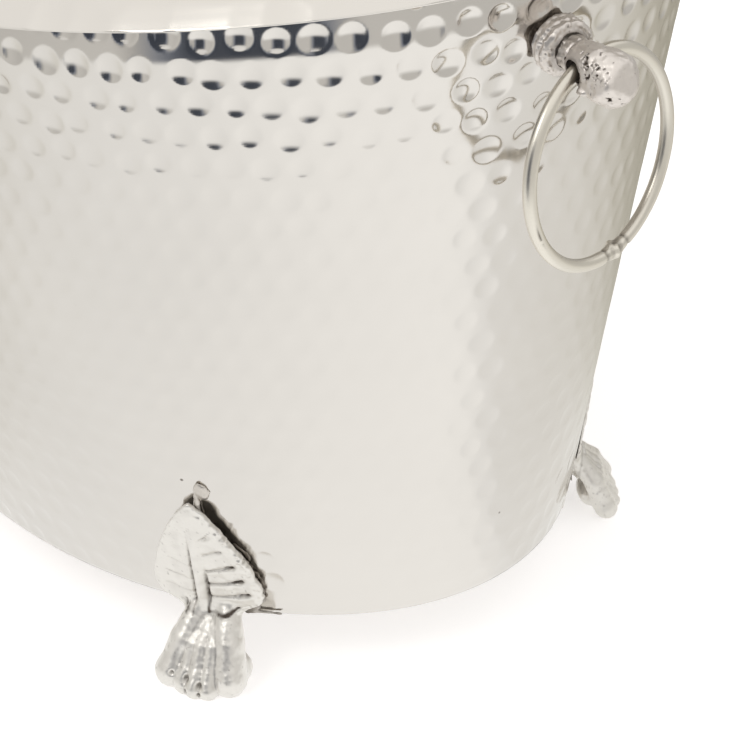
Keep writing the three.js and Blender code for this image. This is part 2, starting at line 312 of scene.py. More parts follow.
def hammered_depth(t, h):
    """How far the hammer has pressed the wall in, on a grid of angles and heights."""
    depth = np.zeros(h.shape)
    rng = np.random.default_rng(21)
    rows = int((RIM_H + RIM_RISE) / MARK_ROW) + 1
    for k in range(rows):
        h0 = 5 + MARK_ROW * k
        _, length, angle_at = even_angles(8, h0)
        count = int(round(length / MARK_PITCH))
        for m in range(count):
            s = (m + 0.5 * (k % 2) + rng.uniform(-0.11, 0.11)) / count * length
            t0 = float(angle_at(s))
            below = rim_height(t0) - h0
            fade = math.exp(-(max(below - MARK_DEEP_TO, 0) / MARK_FADE) ** 1.3)
            deep = MARK_SHALLOW + (MARK_DEEP - MARK_SHALLOW) * fade
            deep *= rng.uniform(0.82, 1.15)
            shift, radius, stretch = rng.uniform(-1.1, 1.1), MARK_R * rng.uniform(0.9, 1.08), rng.uniform(0.93, 1.07)
            stamp(depth, t, h, t0, h0 + shift, radius, deep, stretch)
    return depth


def wall_offset(t, h):
    """The neck under the rim: the wall draws in smoothly over its last stretch."""
    below = rim_height(t) - h
    x = np.clip((NECK_H + 3 - below) / NECK_H, 0, None)
    return -NECK_IN * np.where(x < 0.35, x * x / 0.7, x - 0.175)


def build_wall(material):
    """The hammered sheet: its outer face, its inner face at half the detail, and the lip turned in at its foot."""
    columns, outer = ((1560, 330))
    t, _, _ = even_angles(columns, RIM_H / 2)
    top = rim_height(t) + WALL_TUCK
    v = np.linspace(0, 1, outer)[None, :]
    h = WALL_START + (top[:, None] - WALL_START) * v
    tt = np.broadcast_to(t[:, None], h.shape)
    depth = hammered_depth(t, h)
    plain_face = on_oval(tt, h, 0)
    wave = noise(plain_face, 55.0) * 0.35 + noise(plain_face + 300, 23.0) * 0.07
    off = wall_offset(tt, h) + wave - depth
    face = on_oval(tt, h, off)
    inner_rows = np.arange(outer - 1, -1, -2)
    inside = on_oval(tt[:, inner_rows], h[:, inner_rows], off[:, inner_rows] - WALL_T)
    lip = [(-1.9, 1.8), (-2.8, 1.4), (-8, 1.4), (-8.3, 0.7), (-8, 0), (-2.6, 0), (-1.2, 0.25), (-0.35, 0.95)]
    foot = np.stack([on_oval(t, np.full(columns, hh), o + 0.3) for o, hh in lip], 1)
    points = np.concatenate([face, inside, foot], 1)
    return make_mesh("hammered_wall", points.reshape(-1, 3), loop_grid(columns, points.shape[1]), material)


# ---- the rolled rim ----
def smooth_loop(points, per_side):
    """A closed smooth curve through the given points."""
    p = np.array(points, float)
    out = []
    n = len(p)
    for i in range(n):
        a, b, c, d = p[i - 1], p[i], p[(i + 1) % n], p[(i + 2) % n]
        for u in np.arange(per_side) / per_side:
            square, cube = 2 * a - 5 * b + 4 * c - d, 3 * b - a - 3 * c + d
            out.append(0.5 * (2 * b + (c - a) * u + square * u * u + cube * u ** 3))
    return np.array(out)


# The rim's section, out from the wall and up from its top line: over the outside first, then back underneath.
RIM_SECTION = [
    (4.7, 0.3), (4.1, 1.1), (1.9, 3.5), (-1.4, 6.7), (-5.4, 9.3), (-9.6, 9.7), (-13.4, 8.0), (-16.3, 5.0),
    (-17.1, 2.0), (-16.0, 1.6), (-14.8, 4.2), (-12.4, 6.7), (-9.4, 8.2), (-6.0, 7.8), (-2.4, 5.2), (0.8, 2.1),
    (3.4, -0.1), (4.5, -0.3),
]
SECTION_STEPS = 6  # points on the rim's section between two listed ones
SECTION_OUTER = 9  # how many of the listed stretches make the rim's upper and outer face
DENT_PITCH = 15.5


def build_rim(material):
    """The rolled flange: a closed section swept round the mouth, with rows of shallow dents on its upper face."""
    loop = smooth_loop(RIM_SECTION, SECTION_STEPS)
    columns = 1200
    t, length, _ = even_angles(columns, RIM_H)
    rng = np.random.default_rng(5)
    press = np.zeros((columns, len(loop)))
    arc = np.concatenate([[0], np.cumsum(np.linalg.norm(np.diff(loop, axis=0), axis=1))])
    s_col = np.arange(columns) / columns * length
    outer_len = arc[SECTION_OUTER * SECTION_STEPS]
    count = int(length / DENT_PITCH)
    for row, at in enumerate(np.linspace(4, outer_len - 4, 3)):
        for m in range(count):
            s0 = (m + 0.5 * (row % 2) + rng.uniform(-0.25, 0.25)) / count * length
            r = rng.uniform(7.5, 10.5)
            du = (s_col - s0 + length / 2) % length - length / 2
            near = np.abs(du) < r
            r2 = (du[near][:, None] ** 2 + (arc[None, :] - at - rng.uniform(-2, 2)) ** 2) / r ** 2
            press[near] = np.maximum(press[near], rng.uniform(0.32, 0.68) * np.clip(1 - r2, 0, None))
    press[:, arc > outer_len + 2] = 0
    tangent = np.roll(loop, -1, 0) - np.roll(loop, 1, 0)
    normal = np.stack([-tangent[:, 1], tangent[:, 0]], 1)
    normal /= np.linalg.norm(normal, axis=1)[:, None]
    normal *= np.sign(np.einsum("ij,ij->i", normal, loop - loop.mean(0)).sum())
    off = loop[None, :, 0] - normal[None, :, 0] * press
    dz = loop[None, :, 1] - normal[None, :, 1] * press
    tt = np.broadcast_to(t[:, None], off.shape)
    wobble = noise(on_oval(tt, RIM_H, 0) + 900, 60.0) * 0.25
    lip = rim_height(t)[:, None]
    points = on_oval(tt, lip, off + wobble)
    points[..., 2] += dz
    return make_mesh("rim_roll", points.reshape(-1, 3), loop_grid(columns, len(loop)), material)


# ---- materials ----
# Dark colour for tarnish and for painted shade in pits, grooves, creases, bores and joins between parts.
TARNISH_AND_SHADE = (0.085, 0.068, 0.055)


def blend_colours(nodes, links, base, over, share):
    """Mixes a base colour socket towards a fixed colour by a share socket, and returns the mixed socket."""
    blend = nodes.new("ShaderNodeMix")
    blend.data_type = "RGBA"
    sockets = [i for i in blend.inputs if i.type == "RGBA"]
    sockets[1].default_value = (*over, 1)
    links.new(share, blend.inputs["Factor"])
    links.new(base, sockets[0])
    return [o for o in blend.outputs if o.type == "RGBA"][0]


def map_range(nodes, links, value, start, stop, low, high):
    """Maps a value socket from start..stop to low..high, and returns the mapped socket."""
    node = nodes.new("ShaderNodeMapRange")
    for socket, number in (("From Min", start), ("From Max", stop), ("To Min", low), ("To Max", high)):
        node.inputs[socket].default_value = number
    links.new(value, node.inputs["Value"])
    return node.outputs["Result"]


def metal(name, colour, roughness, rough_spread, grain_mm, grain_depth, metallic=1.0, reads_tarnish_and_shade=False):
    """Plated metal with uneven polish, faint cloudy colour and fine grain, darkened where a piece stores tarnish and
    painted shade.
    """
    mat = bpy.data.materials.new(name)
    mat.use_nodes = True
    nodes, links = mat.node_tree.nodes, mat.node_tree.links
    shader = nodes["Principled BSDF"]
    shader.inputs["Metallic"].default_value = metallic
    place = nodes.new("ShaderNodeTexCoord")
    cloud = nodes.new("ShaderNodeTexNoise")
    cloud.inputs["Scale"].default_value = 14
    cloud.inputs["Detail"].default_value = 4
    links.new(place.outputs["Object"], cloud.inputs["Vector"])
    ramp = nodes.new("ShaderNodeValToRGB")
    ramp.color_ramp.elements[0].position = 0.3
    ramp.color_ramp.elements[1].position = 0.75
    ramp.color_ramp.elements[0].color = (*[c * 0.96 for c in colour], 1)
    ramp.color_ramp.elements[1].color = (*colour, 1)
    links.new(cloud.outputs["Fac"], ramp.inputs["Fac"])
    base = ramp.outputs["Color"]
    # Mixes in the dark colour by the stored darkness, which is tarnish and painted shade.
    if reads_tarnish_and_shade:
        tarnish_and_shade_node = nodes.new("ShaderNodeAttribute")
        tarnish_and_shade_node.attribute_name = "tarnish_and_shade"
        base = blend_colours(nodes, links, base, TARNISH_AND_SHADE, tarnish_and_shade_node.outputs["Fac"])
    links.new(base, shader.inputs["Base Color"])
    polish = map_range(
        nodes, links, cloud.outputs["Fac"], 0.3, 0.7, roughness - rough_spread, roughness + rough_spread)
    links.new(polish, shader.inputs["Roughness"])
    grain = nodes.new("ShaderNodeTexNoise")
    grain.inputs["Scale"].default_value = 1 / (grain_mm * MM)
    grain.inputs["Detail"].default_value = 3
    links.new(place.outputs["Object"], grain.inputs["Vector"])
    bump = nodes.new("ShaderNodeBump")
    bump.inputs["Strength"].default_value = 1.0
    bump.inputs["Distance"].default_value = grain_depth * MM
    links.new(grain.outputs["Fac"], bump.inputs["Height"])
    links.new(bump.outputs["Normal"], shader.inputs["Normal"])
    return mat


def add_specks(mat, spacing_mm, size_mm, colour):
    """Scatters tiny dark pits over a metal."""
    nodes, links = mat.node_tree.nodes, mat.node_tree.links
    shader = nodes["Principled BSDF"]
    below = shader.inputs["Base Color"].links[0].from_socket
    place = nodes.new("ShaderNodeTexCoord")
    cells = nodes.new("ShaderNodeTexVoronoi")
    cells.inputs["Scale"].default_value = 1 / (spacing_mm * MM)
    links.new(place.outputs["Object"], cells.inputs["Vector"])
    share = size_mm / spacing_mm
    spot = map_range(nodes, links, cells.outputs["Distance"], 0.6 * share, share, 0.8, 0.0)
    links.new(blend_colours(nodes, links, below, colour, spot), shader.inputs["Base Color"])


plated = metal("plated_sheet", (0.72, 0.69, 0.65), 0.13, 0.04, 1.5, 0.004)
add_specks(plated, 30.0, 0.75, (0.10, 0.08, 0.06))
rim_metal = metal("plated_rim", (0.77, 0.737, 0.69), 0.17, 0.04, 1.5, 0.004)
cast = metal("cast_metal", (0.78, 0.755, 0.71), 0.33, 0.08, 0.6, 0.03, 0.7, True)
knob_metal = metal("cast_knob", (0.74, 0.69, 0.645), 0.35, 0.08, 0.6, 0.05, 0.85, True)
wire = metal("ring_wire", (0.75, 0.71, 0.63), 0.29, 0.05, 0.8, 0.01, 1.0, True)
fastener = metal("fastener", (0.55, 0.55, 0.55), 0.4, 0.1, 0.5, 0.01)
solder = metal("solder", (0.62, 0.58, 0.53), 0.42, 0.1, 0.7, 0.05, 0.85, True)

attach(build_wall(plated), "tub", "plated_sheet", "tub_wall")
attach(build_rim(rim_metal), "tub", "plated_rim", "rolled_rim")


# ---- the handles: boss, eye with its knob, and ring ----
STEM_SLOPE = math.radians(9.1)
BOSS_R = 9.3
BOSS_T = 9.4
SHANK_R = 3.0
THREAD_PITCH = 0.9
WIRE_R = 2.25
RING_R = 34.0
RING_YAW = math.radians(14.5)  # how far the ring's plane is turned from straight across
RING_SLIP = math.radians(10.8)  # how far the ring has slipped round through the eye
WELD_AT = math.radians(-80)
SCRATCH_AT = -2.75
hinge_row = [j for j in frame["joints"] if j["name"] == "right_ring_swing"][0]
HINGE = np.array(hinge_row["pos_m"]) / MM
EYE_AXIS = np.array(hinge_row["axis"])
STEM = np.array([math.cos(STEM_SLOPE), 0, -math.sin(STEM_SLOPE)])
STEM_UP = np.array([math.sin(STEM_SLOPE), 0, math.cos(STEM_SLOPE)])
HANDLE_FRAME = np.stack([STEM, [0, 1, 0], STEM_UP])
EYE_DRILL = HANDLE_FRAME @ EYE_AXIS
wall_a = BOTTOM_A + FLARE_A * (HINGE[2] - BODY_Z)
EYE_TO_WALL = (HINGE[0] - wall_a) / (math.cos(STEM_SLOPE) + FLARE_A * math.sin(STEM_SLOPE))
BOSS_FACE = BOSS_T - EYE_TO_WALL
SHANK_END = (box_mm("right_eye_knob")[0][0] - HINGE[0]) / math.cos(STEM_SLOPE) + 0.4
# The knob's radius at each distance along the stem from the hinge.
KNOB_RADIUS = [
    (-9.0, 6.1), (-6, 5.7), (-3, 5.8), (0, 6.5), (3.2, 7.2), (6.4, 8.3), (9.4, 9.0), (11.6, 9.1), (14.4, 8.6),
    (17.2, 7.2), (19.4, 4.9), (20.4, 2.6), (20.7, 0), (24, -6),
]
KNOB_BALL = np.array([11.6, 0, 0])
# Hammered flats on the knob: direction along the stem, across and up, and distance from the ball's middle.
KNOB_FLATS = [
    ((0.941, 0.044, 0.330), 7.3), ((0.197, -0.602, 0.775), 7.3), ((0.05, 0.30, 0.95), 8.0),
    ((0.038, -0.981, 0.218), 7.2), ((0.772, -0.418, -0.478), 7.7), ((0.629, 0.702, 0.339), 8.1),
    ((0.1, 0.75, -0.66), 8.1), ((-0.1, -0.6, -0.8), 8.0),
]
# Where the casting's pits gather on the knob, and how wide each patch is.
PIT_CLUSTERS = [((11.0, -6.6, 4.8), 3.4), ((8.5, -7.4, 1.5), 2.6), ((17.6, -4.7, -2.9), 2.3), ((6.5, -5.2, 5.2), 1.8)]


def knob_field(p):
    """The reeded neck, the drilled eye and the ball knob with its flats and pits, and the threaded shank, with
    painted shade in its hollows and at the boss.
    """
    s = p[..., 0]
    rho = np.hypot(p[..., 1], p[..., 2])
    turn = np.arctan2(p[..., 2], p[..., 1])
    radius = np.interp(s, [r[0] for r in KNOB_RADIUS], [r[1] for r in KNOB_RADIUS])
    reeds = 0.28 * (0.5 + 0.5 * np.cos(13 * turn + 1.5 * np.sin(s))) * dip(s + 5.2, 2.6)
    reeds = reeds + 0.25 * dip(s + 3.0, 0.5)
    f = (rho - radius + reeds) * 0.9
    f = np.maximum(f, BOSS_FACE + 0.15 - s)
    for direction, distance in KNOB_FLATS:
        d = np.array(direction) / np.linalg.norm(direction)
        f = smax(f, (p - KNOB_BALL) @ d - distance, 1.3)
    f = smin(f, egg(p, (8.6, -8.0, -3.4), (2.0, 1.2, 1.2)), 0.6)
    t = p @ EYE_DRILL
    across = np.linalg.norm(p - t[..., None] * EYE_DRILL, axis=-1)
    hole = np.interp(np.abs(t), [0, 7, 20], [3.1, 3.85, 8.2]) - across
    f = smax(f, hole, 0.5)
    rough = noise(p + 40, 4.5) * 0.30 + noise(p + 90, 1.5) * 0.16
    grit = noise(p, 0.85)
    fine = noise(p + 17, 0.5)
    pits = 0
    for centre, size in PIT_CLUSTERS:
        near = dip(np.linalg.norm(p - np.array(centre), axis=-1), size)
        pits = np.maximum(pits, near)
    pit = np.clip(grit + 0.5 * fine - 0.74 + 0.95 * pits, 0, 0.7)
    f = f + rough + pit * 1.4
    thread = 0.12 * np.cos(2 * math.pi * s / THREAD_PITCH)
    shank = np.maximum(rho - SHANK_R + thread, np.maximum(s + 6, SHANK_END - s))
    # Painted shade, with some tarnish in the pits: darker in the casting's pits, inside the eye's bore, in the reed
    # grooves and where the neck meets the boss.
    dark = np.clip(pit * 3.4, 0, 1) + 0.75 * np.clip(1 + hole / 1.1, 0, 1)
    dark = dark + 0.35 * dip(s + 5.4, 2.6) * np.clip(reeds * 4, 0, 1)
    dark = dark + 0.5 * dip(s - BOSS_FACE, 1.0)
    return np.minimum(f, shank), dark


def boss_field(p):
    """The rough collar, with turned grooves on its side and face, painted shade at its root against the wall and
    round the knob's neck, and pits darkened by tarnish and painted shade.
    """
    s = p[..., 0] - 0.06 * p[..., 1]
    rho = np.hypot(p[..., 1], p[..., 2])
    turn = np.arctan2(p[..., 2], p[..., 1])
    back = -EYE_TO_WALL - 1.6
    wavy = 0.35 * np.sin(2 * turn + 1)
    side = BOSS_R - 0.2 - 0.22 * np.cos(2 * math.pi * (s + wavy) / 2.6) - 1.0 * dip(s - BOSS_FACE, 1.6)
    side = np.where(s < 2.2 - EYE_TO_WALL, 7.4, side)
    face = BOSS_FACE - 0.35 - 0.25 * np.cos(2 * math.pi * (rho + wavy) / 2.4) - 0.12 * np.clip(rho - 5, 0, 9)
    f = smax(rho - side, s - face, 1.2)
    f = smax(f, back - s, 0.3)
    f = np.maximum(f, 3.05 - rho)
    rough = noise(p + 200, 3.2) * 0.34 + noise(p + 150, 1.1) * 0.24
    grit = np.clip(noise(p + 77, 0.8) - 0.62, 0, 0.4)
    # Painted shadow: the root against the wall is darkened, as the shade between collar and wall.
    root = 1 / (1 + np.exp((s + EYE_TO_WALL - 2.3) / 0.25))
    # Painted shade round the knob's neck on the face; the pits are darkened by tarnish and painted shade.
    dark = 0.95 * root + 2.2 * grit + 0.45 * dip(rho - 6.2, 0.9) * (s > BOSS_FACE - 2)
    return f * 0.9 + rough + grit, dark


def handle_to_world(local, turned):
    """From the handle's own frame (out along the stem, across, up) to the tub's."""
    return half_turn(local @ HANDLE_FRAME + HINGE, turned)


def wrapped(angle):
    """The angle brought to between minus and plus half a turn."""
    return (angle + math.pi) % (2 * math.pi) - math.pi


def ring_mesh(turned):
    """The wire ring as it hangs, with its weld, a scratch and the spot rubbed by the eye, and painted shade in the
    weld's hollows and along the wire's inner side.
    """
    columns, around = ((520, 36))
    along = np.array([-math.sin(RING_YAW), math.cos(RING_YAW), 0])
    up = np.array([0, 0, 1.0])
    centre = HINGE + RING_R * (along * math.sin(RING_SLIP) - up * math.cos(RING_SLIP))
    a = np.arange(columns)[:, None] / columns * 2 * math.pi
    b = np.arange(around)[None, :] / around * 2 * math.pi
    outward = along * np.cos(a)[..., None] + up * np.sin(a)[..., None]
    square = np.cross(along, up)
    spine = centre + outward * (RING_R + noise(outward * 20 + 30, 9.0)[..., None] * 0.12)
    ray = outward * np.cos(b)[..., None] + square * np.sin(b)[..., None]
    off = wrapped(a - WELD_AT)
    weld = dip(off, 0.085)
    at = spine + ray * WIRE_R
    lumps = noise(at + 5, 1.9)
    necks = dip(np.abs(off) - 0.15, 0.02)
    radius = WIRE_R - 0.06 + noise(at, 7.0) * 0.05 + weld * (0.42 + 0.8 * lumps) - 0.35 * necks
    scratch = dip(wrapped(a - SCRATCH_AT), 0.09) * dip(b - 1.2, 0.16)
    scratch = scratch * (noise(at + 60, 1.2) > -0.2)
    points = spine + ray * (radius - 0.14 * scratch)[..., None]
    # The scratch is wear; the darkening in the weld's hollows and at its necks is painted shade.
    dark = scratch * 0.9 + weld * np.clip(lumps * -1.6, 0, 0.5) + 0.5 * necks
    rub = dip(wrapped(a - math.pi / 2 - RING_SLIP), 0.16)
    # The rubbed spot is wear; the darkening along the wire's inner side, facing the ring's middle, is painted shade.
    dark = dark + 0.35 * rub + 0.30 * np.clip(-np.cos(b) - 0.75, 0, 1) * 3
    points = half_turn(points, turned)
    return points.reshape(-1, 3), loop_grid(columns, around), np.broadcast_to(dark, points.shape[:2]).ravel()


knob = sculpt(knob_field, (SHANK_END - 1, -11, -11), (22.5, 11, 11), 0.30)
boss = sculpt(boss_field, (-EYE_TO_WALL - 3.2, -11, -11), (BOSS_FACE + 1.5, 11, 11), 0.30)
for side, turned in (("right", False), ("left", True)):
    for what, (points, faces, dark) in (("eye_knob", knob), ("boss", boss)):
        piece = store_tarnish_and_shade(make_mesh(side + "_cast_" + what, handle_to_world(points, turned), faces, knob_metal), dark)
        attach(piece, "tub", "cast_metal", side + "_" + what)
    points, faces, dark = ring_mesh(turned)
    piece = store_tarnish_and_shade(make_mesh(side + "_ring_wire", points, faces, wire), dark)
    attach(piece, side + "_ring", "ring_wire", side + "_ring")


# ---- the claw feet ----
# A foot's own frame: x along the wall, y straight out from it, z up from the ground. On the sloping wall, out and
# up are measured square to the sheet and along it, with the sheet's curve taken off.
# Half the leaf's width at each height along the wall.
LEAF_HALF = [
    (22.5, 7.0), (23.5, 7.5), (26.4, 11.5), (31.0, 19.8), (34.6, 21.4), (40, 20.9), (48, 18.6), (57, 14.8),
    (65.5, 10.3), (73, 5.4), (76.3, 2.0), (77.4, 0), (80, -6),
]
LEAF_THICK = 2.3
LEAF_SHIFT = 1.3  # how far the leaf sits to one side of its claw
WALL_CURVE = 420.0  # twice the wall's radius of curvature at a foot
LEAF_FROM = 27.0  # below this height the casting is claw, and above it leaf
# Each toe: where it leaves the ankle, where it ends (along the wall, and back from the reach), and its radii.
TOES = [
    (-5.8, -13.0, 3.4, 4.6, 6.5), (-3.4, -6.4, 2.0, 2.8, 4.1), (-0.9, -1.6, 0.4, 2.4, 3.9),
    (1.8, 3.2, 0.8, 2.5, 3.8), (5.0, 9.4, 3.8, 4.6, 6.6),
]
# Each vein: its height at the midrib, its slope and its strength.
VEINS = [
    (27.5, 0.10, 1.0), (33.0, 0.16, 0.9), (39.0, 0.22, 1.0), (45.5, 0.30, 0.8), (53.0, 0.40, 0.55), (60.5, 0.5, 0.4),
]
# Casting pits on the claw's front: along the wall, height and size.
CLAW_PITS = [(-3.4, 6.5, 1.25), (2.1, 5.2, 1.15), (-3.0, 2.6, 0.8), (2.2, 2.4, 0.8), (-9.5, 7.5, 0.8)]


def foot_place(at):
    """Where a foot meets the wall's bottom edge, and the way out from there."""
    p = on_oval(np.array(at), np.array(0.0), 0)
    n = on_oval(np.array(at), np.array(0.0), 1.0) - p
    n = n / np.linalg.norm(n)
    return p, n


def foot_lean(at):
    """The wall's lean from upright at a foot."""
    p, n = foot_place(at)
    q = on_oval(np.array(at), np.array(100.0), 0)
    return math.atan(((q - p) @ n) / 100)


def wall_frame(p, lean):
    """Distance out from the sloping wall and height along it."""
    x, y, rise = p[..., 0], p[..., 1], p[..., 2] - BODY_Z
    out = y * math.cos(lean) - rise * math.sin(lean) + x * x / WALL_CURVE
    return out, BODY_Z + y * math.sin(lean) + rise * math.cos(lean)


def make_foot_field(at, reach, gap, bulk, spread, slim):
    """One foot's casting: the leaf, the claw and the seat under the wall's edge.

    The foot stands at an angle round the tub, reaches out from the wall and leaves a gap behind its leaf. Bulk is how
    thick it stands out, spread how far apart the toes go, and slim how wide they are, against the front_right foot.
    """
    lean = foot_lean(at)
    zs = [z for z, _ in LEAF_HALF]
    ws = [w for _, w in LEAF_HALF]

    def field(p):
        out, up = wall_frame(p, lean)
        x, y, z = p[..., 0] + LEAF_SHIFT, p[..., 1], p[..., 2]
        half = np.interp(up, zs, ws)
        slope = (np.interp(up + 1, zs, ws) - np.interp(up - 1, zs, ws)) / 2
        flat = np.stack([x, np.zeros_like(x), up], -1)
        ragged = noise(flat + [11, 14, 11], 2.6) * 0.75 + noise(flat, 1.1) * 0.35
        edge = (np.abs(x) - half + ragged * (0.4 + 0.6 * (x > 0))) / np.sqrt(1 + slope ** 2)
        low_part = 1 / (1 + np.exp((up - 58) / 3.5))
        mid = x + 1.2 + 0.055 * (50 - up)
        rib = 1.2 * dip(mid, 2.3) * (0.25 + 0.75 * low_part)
        groove = dip(mid - 2.7, 0.7) * 1.5 / (1 + np.exp((up - 45) / 1.5))
        groove = groove + dip(mid + 2.7, 0.6) * 1.25 * low_part
        vein = np.zeros_like(x)
        hole = np.zeros_like(x)
        for base, tilt, strength in VEINS:
            v = up - base - tilt * np.abs(x) * 1.1
            width = 0.75 + 0.3 * noise(p + base, 2.0)
            reachable = (np.abs(mid) > 2.6) * (np.abs(x) < half - 4.6)
            vein = vein + strength * dip(v, width) * reachable * np.where(x > 0, 1.1, 0.5)
            end = np.abs(x) - (half - 6.8)
            pocked = 0.75 + 0.6 * noise(p + 3 * base, 1.3)
            hole = hole + strength * pocked * dip(np.hypot(v, end * 0.42), 1.15) * np.where(x > 0, 1.25, 0.12)
        chip = dip(np.hypot(x + 1.5, up - 66), 1.3) * 0.6 + dip(np.hypot(x + 8.5, up - 28.5), 1.9) * 1.0
        chip = chip * (1 + 0.8 * noise(p + 81, 1.1))
        swell = 0.7 * np.clip(1 - (x / 22) ** 2, 0, 1)
        facet = 0.55 * np.clip((up - 60 + 0.7 * x) / 4, 0, 1) - 0.10 * np.clip(up - 62, 0, 20)
        swell = swell + facet
        border = np.clip(1 + (edge + 0.6) / 2.6, 0, 1) * (x > 0)
        coarse = noise(p + 70, 4.0) * 0.25 + noise(p + 55, 1.3) * (0.10 + 0.45 * border) - 0.5 * border
        relief = swell + rib - groove * 0.85 - vein * 0.75 - hole - chip
        front = out - (gap + bulk * (LEAF_THICK + relief) + coarse)
        plate = smax(smax(front, gap + 0.1 - out, 0.3), edge, 0.7)

        neck = egg(p, (-0.8, 1.2 + 3.4 * bulk, 23), (9.2, 3.4 * bulk, 9))
        claw = smin(neck, egg(p, (-0.8, 3.6, 19.0), (9.6 * slim, 4.4 * bulk, 7)), 2.0)
        creases = np.full(x.shape, 9.0)
        for x_top, x_tip, short, r_top, r_tip in TOES:
            x_tip, r_top, r_tip = x_tip * spread, r_top * (0.4 + bulk * 0.6), r_tip * slim
            tip = reach + 3 - short * bulk - r_tip
            knee = (x_top * 0.45 + x_tip * 0.55, 5.6 + (tip - 5.6) * 0.50, 15.0 - 4 * (1 - bulk))
            upper = taper(p, (x_top, 4.2, 25.5 - 9 * (1 - bulk)), knee, r_top, (r_top + r_tip) * 0.5)
            lower = taper(p, knee, (x_tip, tip, r_tip * 0.72), (r_top + r_tip) * 0.5, r_tip)
            toe = smin(upper, lower, 1.0)
            creases = np.minimum(creases, np.abs(claw - toe) + np.maximum(np.abs(claw), np.abs(toe)) * 0.5)
            claw = smin(claw, toe, 1.1)
        web_at = (0, reach * (0.62 - 0.20 * bulk), 4.5 + 3 * (1 - bulk))
        web = egg(p, web_at, (14.5 * slim, reach * (0.24 + 0.18 * bulk), 7.5 * slim))
        claw = smin(claw, web, 1.5)
        pits = 0
        for px, pz, size in CLAW_PITS:
            pits = pits + dip(np.hypot(x - px, z - pz), size) * (y > reach * 0.45)
        coarse = noise(p + 33, 5.0) * 0.35 + noise(p + 12, 1.4) * 0.12
        claw = claw + coarse + pits * 1.1
        claw = smax(claw, up - 31, 2.0)
        seat = np.maximum(np.abs(x) - 5.4, np.abs(y - 1.5) - 5.8)
        seat = np.maximum(seat, np.maximum(z - BODY_Z + 0.2, BODY_Z - 3 - z))
        f = smin(smin(plate, claw, 2.4), seat, 0.5)
        f = np.maximum(f, np.where(z > BODY_Z - 0.35, 0.9 - out, np.where(out < 0.9, z - BODY_Z + 0.35, -9.0)))
        f = np.maximum(f, 0.02 - z)
        on_leaf = up > LEAF_FROM
        # Painted shade, with some tarnish: the leaf's grooves, veins, pits and chips and the claw's creases and pits
        # are darkened.
        dark = np.clip(groove * 0.9 - 0.3, 0, 0.9) + np.clip(vein * 0.9 - 0.25, 0, 0.8)
        dark = dark + np.clip(hole * 1.3 - 0.3, 0, 1)
        dark = on_leaf * dark * (0.7 + 0.9 * np.clip(noise(p + 5, 1.2), 0, 1)) + on_leaf * np.clip(chip - 0.3, 0, 1)
        dark = dark + (up < LEAF_FROM) * (np.clip(0.42 - creases * 0.55, 0, 0.35) + np.clip(pits - 0.25, 0, 1))
        # Painted shade of the gap: the leaf's back near the wall is darkened.
        dark = dark + 0.6 * np.clip(gap + 0.7 - out, 0, 1) * on_leaf
        # The specks and faint mottling are tarnish.
        specks = np.clip(noise(p + 44, 0.8) - 0.62, 0, 1) * dip(noise(p, 6.0), 0.5)
        dark = dark + 0.10 * np.clip(noise(p + 66, 3.0), 0, 1) + 1.6 * specks
        return f, dark

    return field


def make_solder_field(at, gap):
    """The brazing behind a leaf, which fills the gap to the wall and runs out past the leaf's edge in places,
    darkened below the leaf's tip as painted shade of the gap.
    """
    lean = foot_lean(at)

    def field(p):
        out, up = wall_frame(p, lean)
        q = np.stack([p[..., 0], out, up], -1)
        f = egg(q, (0, 1.0, 44), (9, 1.6, 13))
        f = smin(f, egg(q, (9, 0.9, 50), (6, 1.3, 7)), 1.5)
        f = smin(f, egg(q, (13, 0.9, 36), (6, 1.3, 8)), 1.5)
        f = smin(f, taper(q, (6, 0.5, 24.6), (24, 0.3, 24.3), 0.9, 0.5), 0.8)
        f = smin(f, egg(q, (13, 0.9, 30), (3, 1.3, 4)), 1.5)
        f = smin(f, taper(q, (0, 1.0, 56), (1.0, 0.4, 79), 2.6, 0.8), 1.5)
        f = smin(f, egg(q, (3.6, 0.0, 81.5), (3.2, 1.5, 4.0)), 1.0)
        f = f + noise(p + 21, 2.0) * 0.35
        f = np.maximum(np.maximum(f, 0.05 - out), np.where(up < 74, out - gap + 0.05, -9.0))
        # Painted shade: below the leaf's tip the brazing is darkened, as the shade in the gap behind the leaf.
        return f, 0.72 * (up < 76) * (0.75 + 0.5 * noise(p, 2.2))

    return field


def foot_to_world(local, at, mirror, turned):
    """From a foot's own frame to the tub's, mirrored or turned for the other feet."""
    p, n = foot_place(at)
    along = np.array([n[1], -n[0], 0])
    world = local[:, :1] * along + local[:, 1:2] * n + local[:, 2:] * [0, 0, 1] + p * [1, 1, 0]
    if mirror:
        world = world * [1, -1, 1]
    return half_turn(world, turned)


# Each casting, and the two feet it makes: whether each is mirrored front to back, and turned to the left end.
for at, reach, gap, bulk, spread, slim, places in (
    (math.radians(42.5), 24.5, 1.8, 1.0, 1.0, 1.0, (("front_right", True, False), ("back_left", True, True))),
    (math.radians(45.6), 17.6, 0.7, 0.55, 1.2, 0.7, (("back_right", False, False), ("front_left", False, True))),
):
    foot = sculpt(make_foot_field(at, reach, gap, bulk, spread, slim), (-25, -6.5, -1.5), (24, reach + 6, 81), 0.46)
    joint = sculpt(make_solder_field(at, gap), (-12, -1, 20), (27, 20, 90), 0.5)
    for name, mirror, turned in places:
        for what, shape, finish, slot in (("foot", foot, cast, "cast_metal"), ("solder", joint, solder, "solder")):
            points, faces, dark = shape
            world = foot_to_world(points, at, mirror, turned)
            piece = store_tarnish_and_shade(make_mesh(name + "_cast_" + what, world, faces, finish), dark)
            attach(piece, "tub", slot, name + "_" + what)

